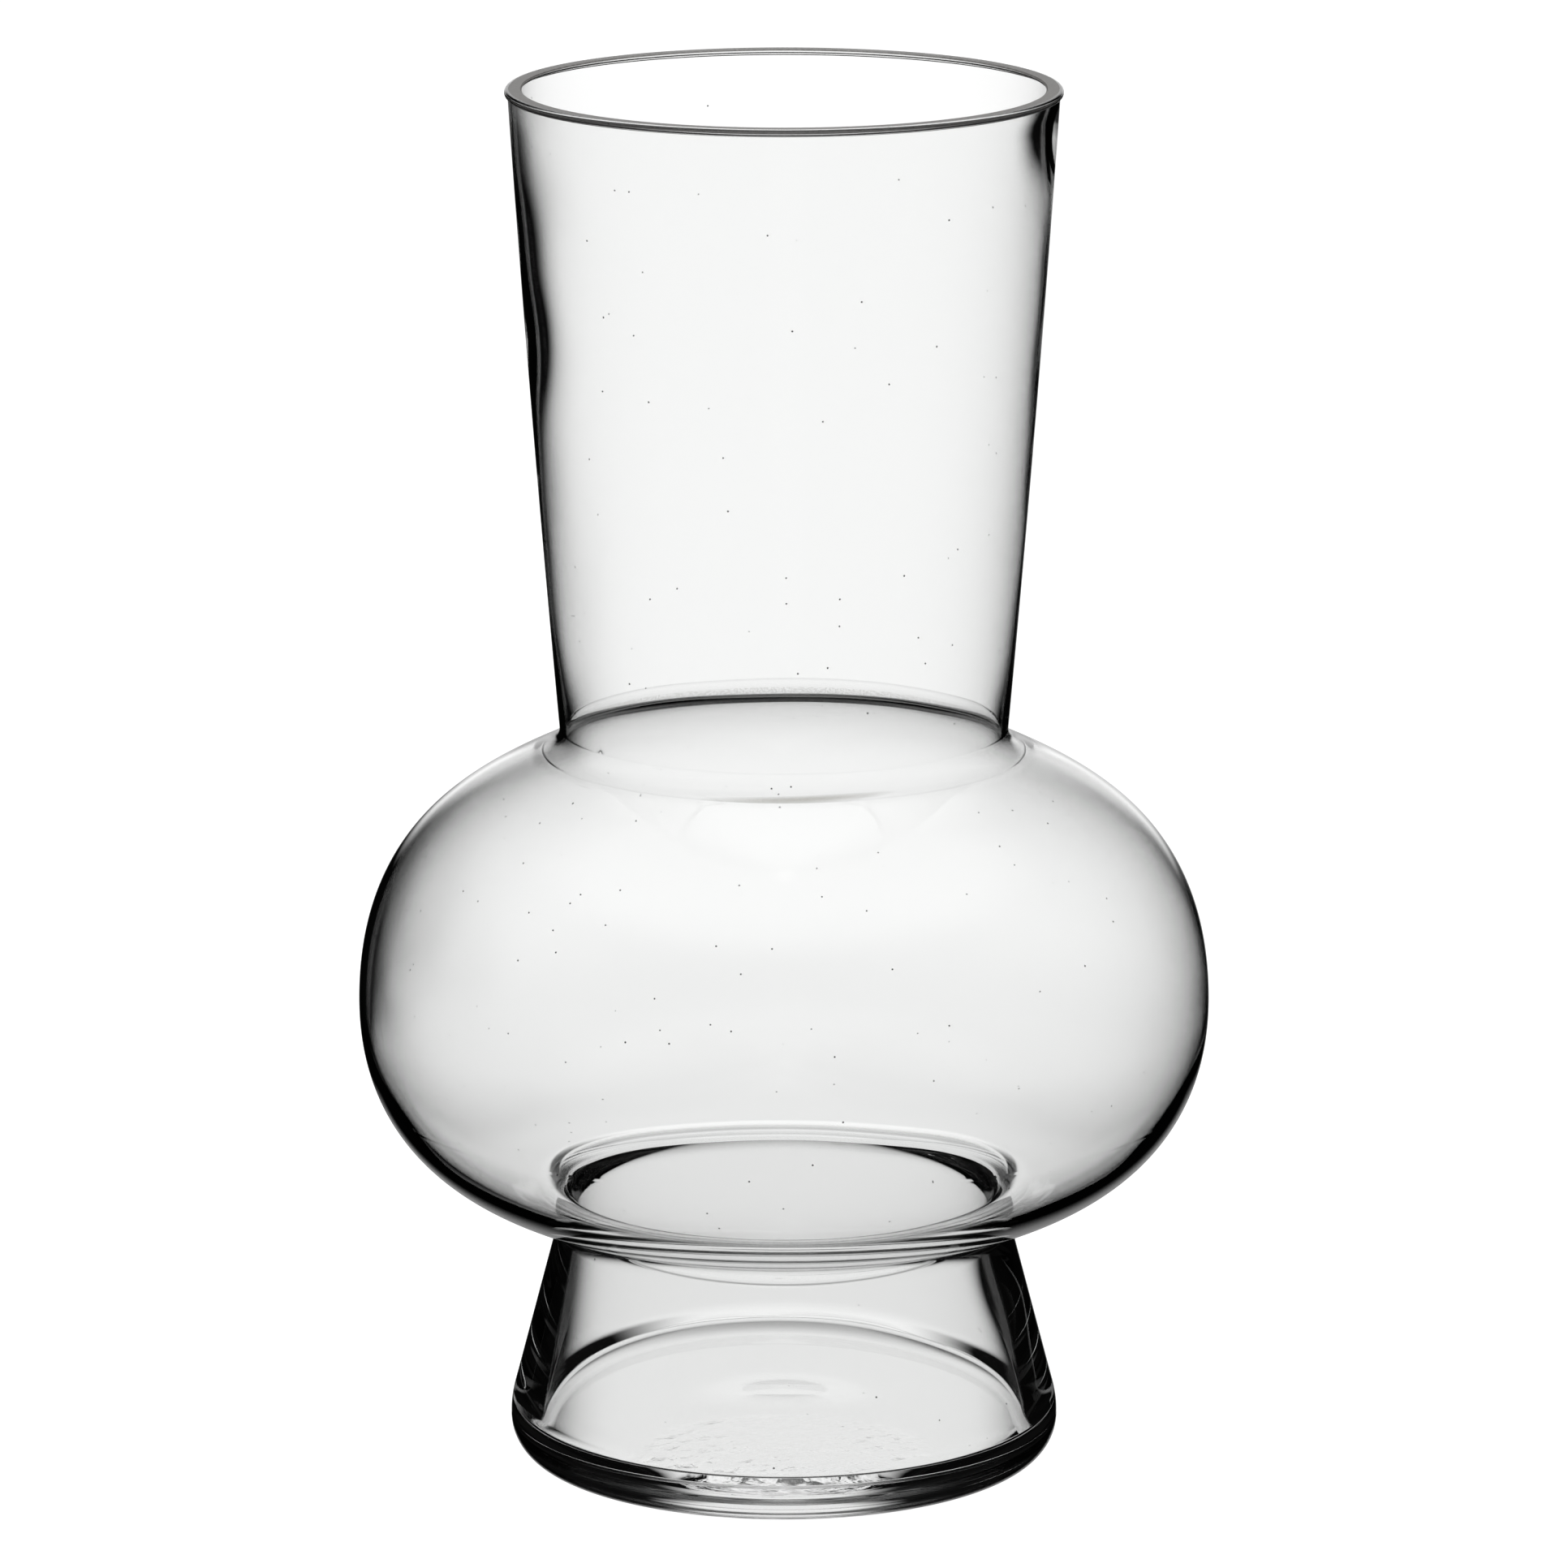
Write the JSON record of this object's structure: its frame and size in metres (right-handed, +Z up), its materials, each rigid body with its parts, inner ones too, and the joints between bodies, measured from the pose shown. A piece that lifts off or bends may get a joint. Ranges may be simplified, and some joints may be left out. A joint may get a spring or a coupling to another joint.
{
  "type": "trumpet vase",
  "caption": "Clear blown-glass vase: a tall tapered neck with a ground rim on an oblate bulb, standing on a thick flared foot with a heavy base.",
  "frame": {"origin": "on the table under the centre of the base", "axes": "+Z up along the axis of the vase, from the base to the rim; +X and +Y are free, because the vase is round"},
  "size_m": [0.1834, 0.1834, 0.3],
  "materials": {
    "clear_glass": "fire-polished clear soda-lime glass",
    "seam_glass": "fused seam with fine bubbles"
  },
  "bodies": {
    "root": {"neck": "clear_glass", "neck_seam": "seam_glass", "bulb": "clear_glass", "waist_seam": "seam_glass", "foot": "clear_glass", "base_seam": "seam_glass", "base": "clear_glass"}
  },
  "joints": []
}
